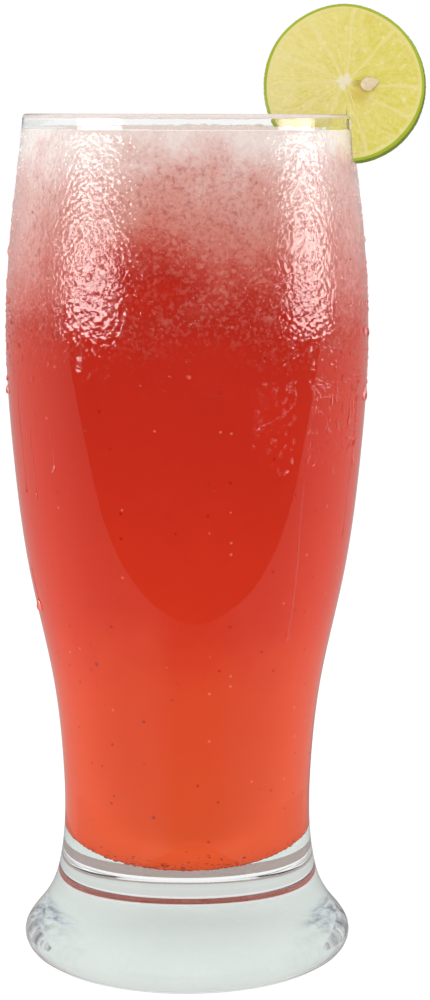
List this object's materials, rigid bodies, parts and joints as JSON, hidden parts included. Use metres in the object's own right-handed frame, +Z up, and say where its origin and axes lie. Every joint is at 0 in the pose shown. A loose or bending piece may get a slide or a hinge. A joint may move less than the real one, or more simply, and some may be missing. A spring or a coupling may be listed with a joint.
{
  "type": "glass of lemonade",
  "caption": "Tall footed beer glass, swelling at the belly and narrow at the waist, filled with cloudy red lemonade under pale froth, with a lime wheel slit onto its rim.",
  "frame": {"origin": "on the glass's axis, in the plane of the ring that the foot stands on", "axes": "+Z up along the glass's axis; the lime wheel sits on the +X side of the rim; the shown front faces -Y"},
  "size_m": [0.0973, 0.0852, 0.225],
  "materials": {
    "glass": "clear, fire polished, dewed near the top",
    "drink": "cloudy red juice",
    "froth": "fine pale pink froth",
    "lime": "wet cut lime with a green rind"
  },
  "bodies": {
    "root": {"glass": "glass", "drink": "drink", "foam": "froth", "lime_slice": "lime"}
  },
  "joints": []
}
